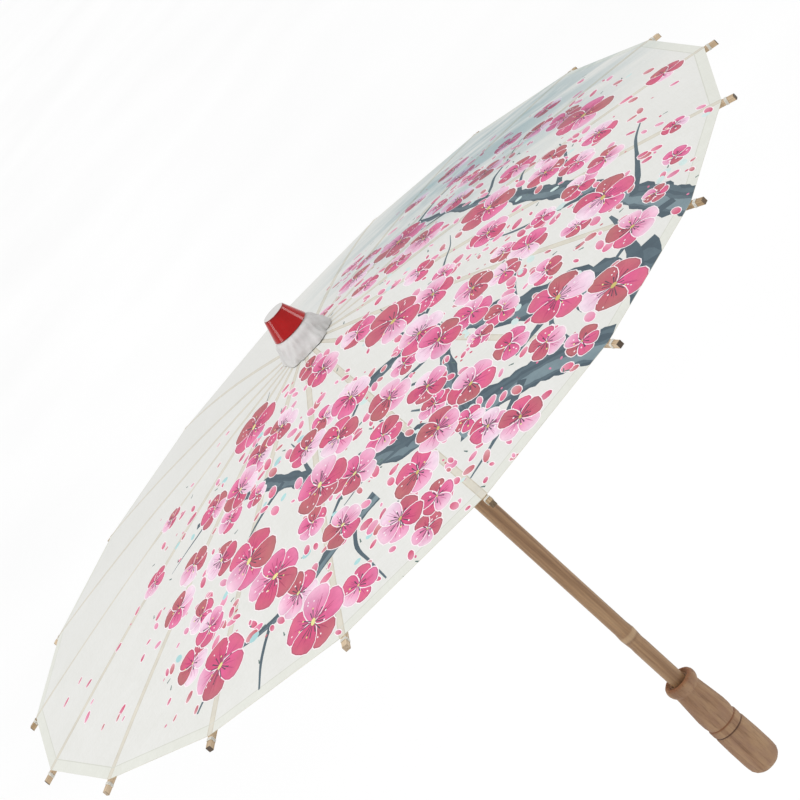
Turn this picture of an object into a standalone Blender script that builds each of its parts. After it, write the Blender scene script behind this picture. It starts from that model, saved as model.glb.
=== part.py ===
"""Oil paper umbrella: an open parasol on a bamboo shaft, with eighteen strung ribs.

Metres, +Z up along the shaft, origin at the centre of the handle's butt. Rib 1 lies along +X.
"""

from math import atan2, cos, pi, radians, sin, sqrt

import bmesh
import bpy
from mathutils import Matrix, Vector

MM = 0.001

# --- Driving dimensions -------------------------------------------------------------------------
RIBS = 18
STEP = 2 * pi / RIBS
GAP = 0.3 * MM  # left between pieces that touch

RIM_HEIGHT = 515.5 * MM  # paper's corners above the butt
RIM_RADIUS = 400 * MM
CROWN_RADIUS = 20 * MM  # where the paper's slope starts
CROWN_RISE = 61.3 * MM  # paper at the crown above the paper at the rim
RIB_BOW = 5 * MM  # how far the paper bulges above a straight line along a rib
PAPER = 0.6 * MM

PIVOT_RADIUS = 16 * MM  # the strung circle of the hub and of the runner
HOLE = 0.9 * MM
THREAD = 0.55 * MM
TONGUE = 2.8 * MM  # width of a rib or stretcher where it is strung
SLOT = 3.3 * MM
SLOT_ROOT = 12.9 * MM
TOOTH_RADIUS = 21 * MM
GROOVE = 1.2 * MM  # half height of the thread's groove
GROOVE_ROOT = 14.8 * MM

RIB_WIDTH = 6.2 * MM
RIB_DEPTH = 5.6 * MM
RIB_END = 410 * MM  # radius of the stick's cut end, beyond the paper
RIB_FULL_WIDTH_AT = 78 * MM
RIB_THINS_FROM = 210 * MM  # beyond its fork a rib thins towards its end
RIB_TIP_WIDTH = 4.4 * MM
RIB_TIP_DEPTH = 4.2 * MM
JOINT_RADIUS = 169 * MM  # where the stretcher meets its rib
STRETCHER = 180 * MM  # between its two holes
STRETCHER_WIDTH = 4.2 * MM
STRETCHER_DEPTH = 4.2 * MM
FORK_IN = 12 * MM  # the rib's fork, from the joint towards the hub
FORK_OUT = 33 * MM  # and towards the rim

SHAFT_RADIUS = 7.7 * MM
SHAFT_FOOT = 72 * MM
SHAFT_TOP = 608 * MM
NODE_HEIGHT = 186.5 * MM  # the bamboo's ring
HANDLE_TOP = 123.2 * MM
HUB_BORE = 7.95 * MM
RUNNER_BORE = 8.2 * MM
SLEEVE_RADIUS = 11 * MM
SLEEVE_LENGTH = 42 * MM  # of the runner, below its strung circle
FINIAL_BASE = 596 * MM
FINIAL_TOP = 616.3 * MM
PIN_RADIUS = 1.2 * MM

CATCH_WIDTH = 2 * MM
CATCH_LENGTH = 39 * MM
CATCH_REACH = 11.4 * MM
CATCH_PIVOT_RADIUS = 4.5 * MM

ROUND = 36  # sides of a turned piece, a multiple of the number of ribs


# --- Worked-out places --------------------------------------------------------------------------
def paper_height(radius):
    """Height of the paper's upper face along a rib."""
    share = (radius - CROWN_RADIUS) / (RIM_RADIUS - CROWN_RADIUS)
    return RIM_HEIGHT + CROWN_RISE * (1 - share) + 4 * RIB_BOW * share * (1 - share)


def rib_height(radius):
    """Height of a rib's centre line."""
    return paper_height(radius) - PAPER - GAP - RIB_DEPTH / 2


def rib_depth(radius):
    """Depth of a rib: full past its fork, then less and less towards the cut end."""
    share = max(0, (radius - RIB_THINS_FROM) / (RIB_END - RIB_THINS_FROM))
    return RIB_DEPTH + (RIB_TIP_DEPTH - RIB_DEPTH) * share


HUB_PIVOT = Vector((PIVOT_RADIUS, 0, rib_height(PIVOT_RADIUS)))
JOINT = Vector((JOINT_RADIUS, 0, rib_height(JOINT_RADIUS)))
RUNNER_OPEN = JOINT.z - sqrt(STRETCHER**2 - (JOINT.x - PIVOT_RADIUS) ** 2)
RUNNER_PIVOT = Vector((PIVOT_RADIUS, 0, RUNNER_OPEN))
CATCH_TOP = RUNNER_OPEN - SLEEVE_LENGTH - GAP
CATCH_PIVOT = Vector((0, CATCH_PIVOT_RADIUS, CATCH_TOP - CATCH_LENGTH))


# --- Scene, materials and helpers ---------------------------------------------------------------
def clear_scene():
    for thing in list(bpy.data.objects):
        bpy.data.objects.remove(thing, do_unlink=True)


def new_collection(name, hidden=False):
    made = bpy.data.collections.new(name)
    made.hide_render = hidden
    bpy.context.scene.collection.children.link(made)
    return made


def material(name, colour, roughness, metallic=0.0, coat=0.0):
    made = bpy.data.materials.new(name)
    made.use_nodes = True
    shader = made.node_tree.nodes["Principled BSDF"]
    shader.inputs["Base Color"].default_value = (*colour, 1)
    shader.inputs["Roughness"].default_value = roughness
    shader.inputs["Metallic"].default_value = metallic
    shader.inputs["Coat Weight"].default_value = coat
    return made


def place(name, mesh, collection, finish=None):
    made = bpy.data.objects.new(name, mesh)
    collection.objects.link(made)
    if finish:
        mesh.materials.clear()
        mesh.materials.append(finish)
    return made


def adopt(made, name, collection, finish):
    """Names a primitive just added, and moves it to its collection."""
    made.name = name
    made.data.name = name
    for held_by in list(made.users_collection):
        held_by.objects.unlink(made)
    collection.objects.link(made)
    made.data.materials.append(finish)
    return made


def turned(name, profile, collection, finish=None, sides=ROUND):
    """A turned solid. Its (radius, height) points go down the outer side, and up a bore if there is one."""
    mesh = bpy.data.meshes.new(name)
    count = len(profile)
    steps = [(i, (i + 1) % count) for i in range(count)]
    edges = [(a, b) for a, b in steps if profile[a][0] > 0 or profile[b][0] > 0]
    mesh.from_pydata([(r, 0, z) for r, z in profile], edges, [])
    made = place(name, mesh, collection, finish)
    screw = made.modifiers.new("turn", "SCREW")
    screw.steps = sides
    screw.render_steps = sides
    screw.use_merge_vertices = True
    screw.merge_threshold = 0.00001
    return made


def to_mesh(source, name, collection, finish=None):
    """The object as a welded mesh in world space. The source object is removed."""
    graph = bpy.context.evaluated_depsgraph_get()
    mesh = bpy.data.meshes.new_from_object(source.evaluated_get(graph))
    mesh.transform(source.matrix_world)
    work = bmesh.new()
    work.from_mesh(mesh)
    bmesh.ops.remove_doubles(work, verts=work.verts, dist=0.00001)
    bmesh.ops.recalc_face_normals(work, faces=work.faces)
    work.to_mesh(mesh)
    work.free()
    bpy.data.objects.remove(source, do_unlink=True)
    mesh.name = name
    return place(name, mesh, collection, finish)


def plate(name, outline, width, collection, frame):
    """A flat outline of given width, centred on its plane, which frame stands up in the world."""
    curve = bpy.data.curves.new(name, "CURVE")
    curve.dimensions = "2D"
    curve.fill_mode = "BOTH"
    curve.extrude = width / 2
    spline = curve.splines.new("POLY")
    spline.points.add(len(outline) - 1)
    for point, (x, y) in zip(spline.points, outline):
        point.co = (x, y, 0, 1)
    spline.use_cyclic_u = True
    source = bpy.data.objects.new(name, curve)
    collection.objects.link(source)
    source.matrix_world = frame
    bpy.context.view_layer.update()
    return to_mesh(source, name, collection)


def helper(made):
    made.hide_render = True
    made.display_type = "WIRE"
    return made


def drill(name, centre, along, length, radius, collection, sides=8):
    """A cutter in the shape of a rod."""
    work = bmesh.new()
    bmesh.ops.create_cone(
        work, cap_ends=True, segments=sides, radius1=radius, radius2=radius, depth=length
    )
    turn = Vector((0, 0, 1)).rotation_difference(Vector(along)).to_matrix().to_4x4()
    work.transform(Matrix.Translation(centre) @ turn)
    mesh = bpy.data.meshes.new(name)
    work.to_mesh(mesh)
    work.free()
    return helper(place(name, mesh, collection))


def block(name, low, high, collection, turns=1):
    """A cutter in the shape of a box, repeated evenly round the shaft."""
    work = bmesh.new()
    low, high = Vector(low), Vector(high)
    for i in range(turns):
        made = bmesh.ops.create_cube(work, size=1)
        size = Matrix.Diagonal((*(high - low), 1))
        shape = Matrix.Rotation(i * 2 * pi / turns, 4, "Z") @ Matrix.Translation((low + high) / 2) @ size
        bmesh.ops.transform(work, matrix=shape, verts=made["verts"])
    mesh = bpy.data.meshes.new(name)
    work.to_mesh(mesh)
    work.free()
    return helper(place(name, mesh, collection))


def cut(target, cutter, operation="DIFFERENCE"):
    boolean = target.modifiers.new(cutter.name, "BOOLEAN")
    boolean.operation = operation
    boolean.object = cutter


def applied(target, name):
    """The target's mesh with its modifiers, ready to be shared. The target is removed."""
    bpy.context.view_layer.update()
    graph = bpy.context.evaluated_depsgraph_get()
    mesh = bpy.data.meshes.new_from_object(target.evaluated_get(graph))
    mesh.name = name
    bpy.data.objects.remove(target, do_unlink=True)
    return mesh


def arc(centre, radius, first, last, count):
    """Points of an arc; the angles are in radians."""
    return [
        (
            centre[0] + radius * cos(first + (last - first) * i / count),
            centre[1] + radius * sin(first + (last - first) * i / count),
        )
        for i in range(count + 1)
    ]


UPRIGHT = Matrix.Rotation(pi / 2, 4, "X")  # stands an (x, y) outline up in the XZ plane


# --- The pieces ---------------------------------------------------------------------------------
def make_shaft(parts, cutters, finish):
    """Bamboo shaft with one raised ring, a slot for the catch and a hole for the hub's pin."""
    r = SHAFT_RADIUS
    profile = [
        (0, SHAFT_TOP),
        (r - 0.8 * MM, SHAFT_TOP),
        (r, SHAFT_TOP - 0.8 * MM),
        (r, NODE_HEIGHT + 9 * MM),
        (r + 0.7 * MM, NODE_HEIGHT + 1 * MM),
        (r + 0.4 * MM, NODE_HEIGHT - 3 * MM),
        (r - 0.3 * MM, NODE_HEIGHT - 11 * MM),
        (r, NODE_HEIGHT - 17 * MM),
        (r, SHAFT_FOOT),
        (0, SHAFT_FOOT),
    ]
    shaft = turned("shaft", profile, parts, finish, sides=24)
    half = CATCH_WIDTH / 2 + 0.4 * MM
    low = (-half, 0.6 * MM, CATCH_PIVOT.z - 6 * MM)
    high = (half, 12 * MM, CATCH_TOP + 4 * MM)
    cut(shaft, block("catch_slot", low, high, cutters))
    return shaft


def make_handle(parts, finish):
    """Turned handle: collar, neck, swell, bead between two grooves, and a rounded grip."""
    bore = SHAFT_RADIUS + GAP
    outline = [
        (9.6, -2.2),
        (11.6, -0.4),
        (13, 0),
        (14.9, -1.6),
        (16, -4.2),
        (16, -7),
        (15.1, -10),
        (13.4, -13),
        (13.6, -17.5),
        (14.9, -32),
        (16, -45),
        (15.9, -53),
        (15, -58.7),
        (16.05, -60.3),
        (16.05, -66.1),
        (15.3, -67.9),
        (16.2, -70.6),
        (16.7, -88),
        (16.7, -106),
    ]  # mm, radius and height from the lip
    butt = 11 * MM  # radius of the rounded end
    profile = [
        *[(radius * MM, HANDLE_TOP + height * MM) for radius, height in outline],
        *[(5.5 * MM + x, butt + y) for x, y in arc((0, 0), butt, 0.05, -pi / 2, 5)],
        (0, 0),
        (0, SHAFT_FOOT - 3 * MM),
        (bore, SHAFT_FOOT - 3 * MM),
        (bore, HANDLE_TOP - 2.2 * MM),
    ]
    return turned("handle", profile, parts, finish)


def toothed(name, profile, pivot, parts, cutters, finish):
    """A turned block with one radial slot for each rib and a groove for the thread."""
    made = turned(name, profile, parts, finish)
    low = (SLOT_ROOT, -SLOT / 2, pivot - 12 * MM)
    high = (TOOTH_RADIUS + 4 * MM, SLOT / 2, pivot + 12 * MM)
    cut(made, block(f"{name}_slots", low, high, cutters, RIBS))
    return made


def make_hub(parts, cutters, finish):
    """Fixed top notch: slotted head, sleeve below it and a neck up to the finial."""
    z = HUB_PIVOT.z
    neck = SLOT_ROOT - 0.5 * MM
    profile = [
        (HUB_BORE, FINIAL_BASE - GAP),
        (neck, FINIAL_BASE - GAP),
        (neck, z + 3 * MM),
        (SLOT_ROOT + 1 * MM, z + 2.6 * MM),
        (TOOTH_RADIUS, z + 1.4 * MM),
        (TOOTH_RADIUS, z + GROOVE),
        (GROOVE_ROOT, z + GROOVE),
        (GROOVE_ROOT, z - GROOVE),
        (TOOTH_RADIUS, z - GROOVE),
        (TOOTH_RADIUS, z - 6 * MM),
        (TOOTH_RADIUS - 3 * MM, z - 9 * MM),
        (SLEEVE_RADIUS, z - 10.5 * MM),
        (SLEEVE_RADIUS, z - 22 * MM),
        (HUB_BORE, z - 22 * MM),
    ]
    return toothed("hub", profile, z, parts, cutters, finish)


def make_runner(parts, cutters, finish):
    """Sliding lower notch: slotted head on a sleeve that a thumb pushes."""
    z = RUNNER_PIVOT.z
    foot = z - SLEEVE_LENGTH
    profile = [
        (RUNNER_BORE, z + 7 * MM),
        (SLOT_ROOT - 0.5 * MM, z + 7 * MM),
        (SLOT_ROOT + 1.5 * MM, z + 6 * MM),
        (TOOTH_RADIUS, z + 4 * MM),
        (TOOTH_RADIUS, z + GROOVE),
        (GROOVE_ROOT, z + GROOVE),
        (GROOVE_ROOT, z - GROOVE),
        (TOOTH_RADIUS, z - GROOVE),
        (TOOTH_RADIUS, z - 6 * MM),
        (TOOTH_RADIUS - 3 * MM, z - 8 * MM),
        (SLEEVE_RADIUS, z - 9.5 * MM),
        (SLEEVE_RADIUS - 0.6 * MM, z - 24 * MM),
        (SLEEVE_RADIUS + 0.6 * MM, foot + 6 * MM),
        (SLEEVE_RADIUS + 0.6 * MM, foot + 1 * MM),
        (SLEEVE_RADIUS - 0.2 * MM, foot),
        (RUNNER_BORE, foot),
    ]
    return toothed("runner", profile, z, parts, cutters, finish)


def make_ring(name, height, parts, finish):
    """Waxed thread that strings the ribs, a closed loop in its groove."""
    bpy.ops.mesh.primitive_torus_add(
        location=(0, 0, height),
        major_radius=PIVOT_RADIUS,
        minor_radius=THREAD,
        major_segments=ROUND,
        minor_segments=6,
    )
    return adopt(bpy.context.object, name, parts, finish)


def make_hub_pin(parts, cutters, finish, shaft, hub):
    """Bamboo pin through the hub's sleeve and the shaft."""
    centre = (0, 0, HUB_PIVOT.z - 17 * MM)
    for target in (shaft, hub):
        cutter = drill(
            f"{target.name}_pin_hole", centre, (0, 1, 0), 30 * MM, PIN_RADIUS + GAP, cutters
        )
        cut(target, cutter)
    bpy.ops.mesh.primitive_cylinder_add(
        vertices=10, radius=PIN_RADIUS, depth=2 * SLEEVE_RADIUS - 0.6 * MM, location=centre
    )
    pin = adopt(bpy.context.object, "hub_pin", parts, finish)
    pin.rotation_euler = (pi / 2, 0, 0)
    return pin


def make_finial(parts, finish):
    """Lacquered cap, a cone cut flat, with a blind bore for the shaft's top."""
    bore = SHAFT_RADIUS + GAP
    profile = [
        (0, FINIAL_TOP),
        (10.4 * MM, FINIAL_TOP),
        (11.1 * MM, FINIAL_TOP - 0.7 * MM),
        (17.9 * MM, FINIAL_BASE + 0.8 * MM),
        (17.3 * MM, FINIAL_BASE),
        (bore, FINIAL_BASE),
        (bore, SHAFT_TOP + 1 * MM),
        (0, SHAFT_TOP + 1 * MM),
    ]
    return turned("finial", profile, parts, finish)


def make_collar(parts, finish):
    """Paper wrap that covers the joint of canopy and hub, flared at its foot."""
    bore = SLOT_ROOT - 0.2 * MM
    top = FINIAL_BASE - GAP
    low = paper_height(24 * MM) + GAP + 0.3 * MM
    profile = [
        (bore, top),
        (17.4 * MM, top),
        (18.6 * MM, top - 2 * MM),
        (20.6 * MM, top - 11 * MM),
        (24 * MM, low + 1.5 * MM),
        (24 * MM, low),
        (bore, paper_height(bore) + GAP + 0.3 * MM),
    ]
    return turned("paper_collar", profile, parts, finish)


def make_canopy(parts, finish):
    """The paper: flat panels between the ribs, bowed along them, as one thin shell."""
    rows = 9
    hole = SLOT_ROOT
    radii = [hole + (RIM_RADIUS - hole) * i / rows for i in range(rows + 1)]
    mesh = bpy.data.meshes.new("canopy")
    edges = [(i, i + 1) for i in range(rows)]
    mesh.from_pydata([(r, 0, paper_height(r)) for r in radii], edges, [])
    canopy = place("canopy", mesh, parts, finish)
    screw = canopy.modifiers.new("panels", "SCREW")
    screw.steps = RIBS
    screw.render_steps = RIBS
    screw.use_merge_vertices = True
    screw.merge_threshold = 0.00001
    shell = canopy.modifiers.new("paper", "SOLIDIFY")
    shell.thickness = PAPER
    shell.offset = -1
    return canopy


def rib_outline():
    """Side view of a rib in the XZ plane: round at the strung end, cut square at the stick's end."""
    half = RIB_DEPTH / 2
    stations = [22, 60, 110, 170, RIB_THINS_FROM / MM, 260, 310, 360, RIB_END / MM]
    radii = [r * MM for r in stations]
    upper = [(r, rib_height(r) + half) for r in radii]
    lower = [(r, rib_height(r) + half - rib_depth(r)) for r in reversed(radii)]
    nose = arc((HUB_PIVOT.x, HUB_PIVOT.z), 2.5 * MM, -pi / 2, -3 * pi / 2, 4)
    return [*nose, *upper, *lower]


def rib_mesh(cutters, parts):
    """One rib along +X: narrow at the hub, forked at its joint, drilled for the thread."""
    rib = plate("rib", rib_outline(), RIB_WIDTH, parts, UPRIGHT)
    x0 = PIVOT_RADIUS + 9 * MM
    half, narrow, tip = RIB_WIDTH / 2 + 1 * MM, TONGUE / 2, RIB_TIP_WIDTH / 2
    wide = [
        (0, narrow),
        (0, -narrow),
        (x0, -narrow),
        (RIB_FULL_WIDTH_AT, -RIB_WIDTH / 2),
        (RIB_FULL_WIDTH_AT, -half),
        (RIB_THINS_FROM, -half),
        (RIB_THINS_FROM, -RIB_WIDTH / 2),
        (RIB_END, -tip),
        (RIB_END + 5 * MM, -tip),
        (RIB_END + 5 * MM, tip),
        (RIB_END, tip),
        (RIB_THINS_FROM, RIB_WIDTH / 2),
        (RIB_THINS_FROM, half),
        (RIB_FULL_WIDTH_AT, half),
        (RIB_FULL_WIDTH_AT, RIB_WIDTH / 2),
        (x0, narrow),
    ]
    lift = Matrix.Translation((0, 0, RIM_HEIGHT + CROWN_RISE / 2))
    cut(rib, helper(plate("rib_taper", wide, 200 * MM, cutters, lift)), "INTERSECT")
    low = (JOINT.x - FORK_IN, -SLOT / 2, JOINT.z - 20 * MM)
    high = (JOINT.x + FORK_OUT, SLOT / 2, JOINT.z + 20 * MM)
    cut(rib, block("rib_fork", low, high, cutters))
    cut(rib, drill("rib_hub_hole", HUB_PIVOT, (0, 1, 0), 20 * MM, HOLE, cutters))
    cut(rib, drill("rib_joint_hole", JOINT, (0, 1, 0), 20 * MM, HOLE, cutters))
    return applied(rib, "rib")


def stretcher_mesh(cutters, parts):
    """One stretcher along +X, from the runner's strung circle up to its rib's fork."""
    half = STRETCHER_DEPTH / 2
    outline = [
        *arc((0, 0), half, pi / 2, 3 * pi / 2, 4),
        *arc((STRETCHER, 0), half, -pi / 2, pi / 2, 4),
    ]
    rise = atan2(JOINT.z - RUNNER_PIVOT.z, JOINT.x - RUNNER_PIVOT.x)
    frame = Matrix.Translation(RUNNER_PIVOT) @ Matrix.Rotation(-rise, 4, "Y") @ UPRIGHT
    bar = plate("stretcher", outline, STRETCHER_WIDTH, parts, frame)
    narrow, wide = TONGUE / 2, STRETCHER_WIDTH / 2 + 1 * MM
    inner, outer = 22 * MM, STRETCHER - 38 * MM
    plan = [
        (-9 * MM, narrow),
        (-9 * MM, -narrow),
        (inner, -narrow),
        (inner + 8 * MM, -wide),
        (outer - 8 * MM, -wide),
        (outer, -narrow),
        (STRETCHER + 9 * MM, -narrow),
        (STRETCHER + 9 * MM, narrow),
        (outer, narrow),
        (outer - 8 * MM, wide),
        (inner + 8 * MM, wide),
        (inner, narrow),
    ]
    flat = Matrix.Translation(RUNNER_PIVOT) @ Matrix.Rotation(-rise, 4, "Y")
    cut(bar, helper(plate("stretcher_taper", plan, 40 * MM, cutters, flat)), "INTERSECT")
    for name, centre in (("runner", RUNNER_PIVOT), ("rib", JOINT)):
        cut(bar, drill(f"stretcher_{name}_hole", centre, (0, 1, 0), 20 * MM, HOLE, cutters))
    return applied(bar, "stretcher")


def spread(mesh, name, pivot, parts, finish):
    """One copy for each rib, each turned about the shaft with its origin on its own hinge."""
    mesh.transform(Matrix.Translation(-pivot))
    mesh.materials.clear()
    mesh.materials.append(finish)
    for i in range(RIBS):
        made = bpy.data.objects.new(f"{name}_{i + 1:02d}", mesh)
        parts.objects.link(made)
        turn = Matrix.Rotation(i * STEP, 4, "Z")
        made.matrix_world = turn @ Matrix.Translation(pivot)


def make_catch(parts, cutters, finish):
    """Sprung catch in the shaft's slot: its shoulder holds the runner up."""
    top, low = CATCH_TOP, CATCH_PIVOT.z
    outline = [
        *arc((CATCH_PIVOT_RADIUS, low), 2 * MM, -pi, 0, 4),
        (7.2 * MM, low + 5 * MM),
        (CATCH_REACH, top - 4 * MM),
        (CATCH_REACH, top),
        (6.6 * MM, top),
        (5.2 * MM, top - 3 * MM),
        (2.6 * MM, low + 5 * MM),
    ]
    stand = Matrix.Rotation(pi / 2, 4, "Z") @ UPRIGHT
    catch = plate("catch", outline, CATCH_WIDTH, parts, stand)
    catch.data.transform(Matrix.Translation(-CATCH_PIVOT))
    catch.location = CATCH_PIVOT
    catch.data.materials.append(finish)
    return catch


def shade_round():
    for thing in bpy.data.objects:
        if thing.type == "MESH" and not thing.hide_render:
            thing.data.shade_smooth()
            thing.data.set_sharp_from_angle(angle=radians(35))


def main():
    clear_scene()
    parts = new_collection("oil_paper_umbrella")
    cutters = new_collection("cutters", hidden=True)

    shaft_wood = material("shaft_bamboo", (0.31, 0.19, 0.11), 0.55)
    shaft = make_shaft(parts, cutters, shaft_wood)
    make_handle(parts, material("handle_wood", (0.40, 0.25, 0.15), 0.6))
    hub = make_hub(parts, cutters, material("hub_wood", (0.55, 0.42, 0.27), 0.65))
    make_runner(parts, cutters, material("runner_wood", (0.56, 0.43, 0.28), 0.65))
    make_ring("hub_thread", HUB_PIVOT.z, parts, material("hub_thread", (0.8, 0.78, 0.7), 0.8))
    make_ring("runner_thread", RUNNER_OPEN, parts, material("runner_thread", (0.8, 0.78, 0.7), 0.8))
    make_hub_pin(parts, cutters, material("hub_pin", (0.6, 0.46, 0.28), 0.6), shaft, hub)
    make_finial(parts, material("finial_lacquer", (0.5, 0.008, 0.01), 0.12, coat=1.0))
    make_collar(parts, material("collar_paper", (0.82, 0.81, 0.8), 0.8))
    make_canopy(parts, material("canopy_paper", (0.8, 0.8, 0.76), 0.55))
    make_catch(parts, cutters, material("catch_steel", (0.6, 0.6, 0.6), 0.3, metallic=1.0))
    rib_bamboo = material("rib_bamboo", (0.66, 0.52, 0.33), 0.5)
    spread(rib_mesh(cutters, parts), "rib", HUB_PIVOT, parts, rib_bamboo)
    stretcher_bamboo = material("stretcher_bamboo", (0.68, 0.54, 0.35), 0.5)
    spread(stretcher_mesh(cutters, parts), "stretcher", JOINT, parts, stretcher_bamboo)
    shade_round()


main()
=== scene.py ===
"""An open oil paper parasol: bamboo shaft, ribs and stretchers, painted paper, red lacquered finial."""

import math
import random

import bpy
import numpy as np
from mathutils import Matrix, Vector, noise
from mathutils.geometry import delaunay_2d_cdt

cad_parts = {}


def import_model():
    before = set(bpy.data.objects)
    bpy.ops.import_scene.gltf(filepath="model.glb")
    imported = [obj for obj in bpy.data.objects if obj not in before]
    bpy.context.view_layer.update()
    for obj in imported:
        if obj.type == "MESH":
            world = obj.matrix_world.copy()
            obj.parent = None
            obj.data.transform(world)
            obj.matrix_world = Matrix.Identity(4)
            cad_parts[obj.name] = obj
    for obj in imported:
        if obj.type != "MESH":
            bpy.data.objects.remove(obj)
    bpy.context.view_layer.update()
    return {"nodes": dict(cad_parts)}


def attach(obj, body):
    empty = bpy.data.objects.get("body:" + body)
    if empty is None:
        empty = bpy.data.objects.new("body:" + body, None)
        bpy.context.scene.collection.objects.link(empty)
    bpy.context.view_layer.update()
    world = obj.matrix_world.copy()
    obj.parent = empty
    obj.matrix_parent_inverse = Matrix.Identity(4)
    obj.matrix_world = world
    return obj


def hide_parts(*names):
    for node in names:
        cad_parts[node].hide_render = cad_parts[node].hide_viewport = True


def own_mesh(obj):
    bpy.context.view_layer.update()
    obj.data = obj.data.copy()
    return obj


MM = 0.001

# The umbrella, in metres, as the CAD part has it
RIBS = 18
STEP = 2 * math.pi / RIBS
RIM_HEIGHT = 0.5155
RIM_RADIUS = 0.400
CROWN_RADIUS = 0.020
CROWN_RISE = 0.0613
RIB_BOW = 0.005
PAPER_DROP = 0.0005        # the thin paper's top face lies this far under the CAD paper's
PAPER_THICKNESS = 0.00035
RIB_DROP = 0.0037          # rib centre line under the CAD paper's top face
RIB_WIDTH = 0.0062
RIB_DEPTH = 0.0056
RIB_JOINT = 0.169
RIB_END = 0.410
RIB_THINS_FROM = 0.210
RIB_TIP_WIDTH = 0.0044
RIB_TIP_DEPTH = 0.0042
HANDLE_TOP = 0.1232
SHAFT_NODE = 0.1865
FINIAL_TOP = 0.6163
COLLAR_TOP = 0.5958
COLLAR_FOOT = 0.5760
WINDING_AT = 0.4013        # where the thread round a stick starts, out from the shaft

# The paper's plan, in millimetres
RIM = RIM_RADIUS / MM
HOLE = 13.0
HEM = 9.0
STRIP_TIP = 1.6            # half widths of the paper glued along a rib
STRIP_FULL = 3.1
STRIP_FULL_AT = 78.0
STRIP_EDGE = 0.8
CHORDS = (20, 34, 52, 75, 100, 130, 160, 190, 220, 250, 280, 310, 340, 370)

# The camera
AIM = Vector((0.017, 0.003, 0.4845))
AZIMUTH = math.radians(-81.1)
ELEVATION = math.radians(16.8)
DISTANCE = 2.048
ROLL = math.radians(-47.6)
LENS = 109.8

FLOOR = -1.5


# ---------------------------------------------------------------- colours and nodes

def linear(colour):
    """A 0 to 255 screen colour, or an array of them, as linear light."""
    c = np.asarray(colour, float) / 255
    return np.where(c <= 0.04045, c / 12.92, ((c + 0.055) / 1.055) ** 2.4)


def rgba(*colour):
    return (*linear(colour), 1.0)


def add(mat, kind, inputs=None, **settings):
    made = mat.node_tree.nodes.new("ShaderNode" + kind)
    for key, value in settings.items():
        setattr(made, key, value)
    for key, value in (inputs or {}).items():
        if isinstance(value, bpy.types.NodeSocket):
            mat.node_tree.links.new(value, made.inputs[key])
        else:
            made.inputs[key].default_value = value
    return made


def coords(mat, scale=(1, 1, 1), turn=(0, 0, 0)):
    place = add(mat, "TexCoord").outputs["Object"]
    return add(mat, "Mapping", {"Vector": place, "Scale": scale, "Rotation": turn}).outputs[0]


def cloud(mat, where, scale, detail=4.0, rough=0.55, warp=0.0):
    """Noise between 0 and 1."""
    values = {"Vector": where, "Scale": scale, "Detail": detail, "Roughness": rough, "Distortion": warp}
    return add(mat, "TexNoise", values).outputs["Fac"]


def sums(mat, how, a, b=0.0, clamp=False):
    return add(mat, "Math", {0: a, 1: b}, operation=how, use_clamp=clamp).outputs[0]


def span(mat, value, low, high, to_low=0.0, to_high=1.0):
    """value from low..high to to_low..to_high, held at its ends."""
    places = {"Value": value, "From Min": low, "From Max": high, "To Min": to_low, "To Max": to_high}
    return add(mat, "MapRange", places).outputs[0]


def blend_colour(mat, share, a, b, how="MIX"):
    made = add(mat, "Mix", data_type="RGBA", blend_type=how)
    for index, value in ((0, share), (6, a), (7, b)):
        if isinstance(value, bpy.types.NodeSocket):
            mat.node_tree.links.new(value, made.inputs[index])
        else:
            made.inputs[index].default_value = value
    return made.outputs[2]


def ramp(mat, value, *stops):
    made = add(mat, "ValToRGB", {"Fac": value})
    bar = made.color_ramp.elements
    while len(bar) < len(stops):
        bar.new(0.5)
    for element, (position, colour) in zip(bar, stops):
        element.position = position
        element.color = colour
    return made.outputs["Color"]


def bump(mat, height, distance, strength=1.0, over=None):
    values = {"Height": height, "Distance": distance, "Strength": strength}
    if over is not None:
        values["Normal"] = over
    return add(mat, "Bump", values).outputs[0]


def new_material(name, **values):
    """A material, with the numbers that are the same all over it set on its shader."""
    mat = bpy.data.materials.new(name)
    mat.use_nodes = True
    shader = mat.node_tree.nodes["Principled BSDF"]
    for key, value in values.items():
        shader.inputs[key.replace("_", " ")].default_value = value
    return mat


def wire(mat, **sockets):
    shader = mat.node_tree.nodes["Principled BSDF"]
    for key, socket in sockets.items():
        mat.node_tree.links.new(socket, shader.inputs[key.replace("_", " ")])
    return mat


def height_of(mat):
    place = add(mat, "TexCoord").outputs["Object"]
    return add(mat, "SeparateXYZ", {0: place}).outputs["Z"]


def band(mat, height, middle, half, soft):
    """1 within half of middle, falling to 0 over soft."""
    off = sums(mat, "ABSOLUTE", sums(mat, "SUBTRACT", height, middle))
    return span(mat, off, half, half + soft, 1.0, 0.0)


# ---------------------------------------------------------------- materials

def radial_coords(mat, along, across, deep):
    """Coordinates that run out along each rib, whichever way it points."""
    parts = add(mat, "SeparateXYZ", {0: add(mat, "TexCoord").outputs["Object"]}).outputs
    squares = sums(mat, "ADD", sums(mat, "POWER", parts["X"], 2.0), sums(mat, "POWER", parts["Y"], 2.0))
    radius = sums(mat, "SQRT", squares)
    angle = sums(mat, "ARCTAN2", parts["Y"], parts["X"])
    level = sums(mat, "ADD", parts["Z"], sums(mat, "MULTIPLY", radius, 0.16))
    values = {
        0: sums(mat, "MULTIPLY", radius, along),
        1: sums(mat, "MULTIPLY", angle, across),
        2: sums(mat, "MULTIPLY", level, deep),
    }
    return add(mat, "CombineXYZ", values).outputs[0]


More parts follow.
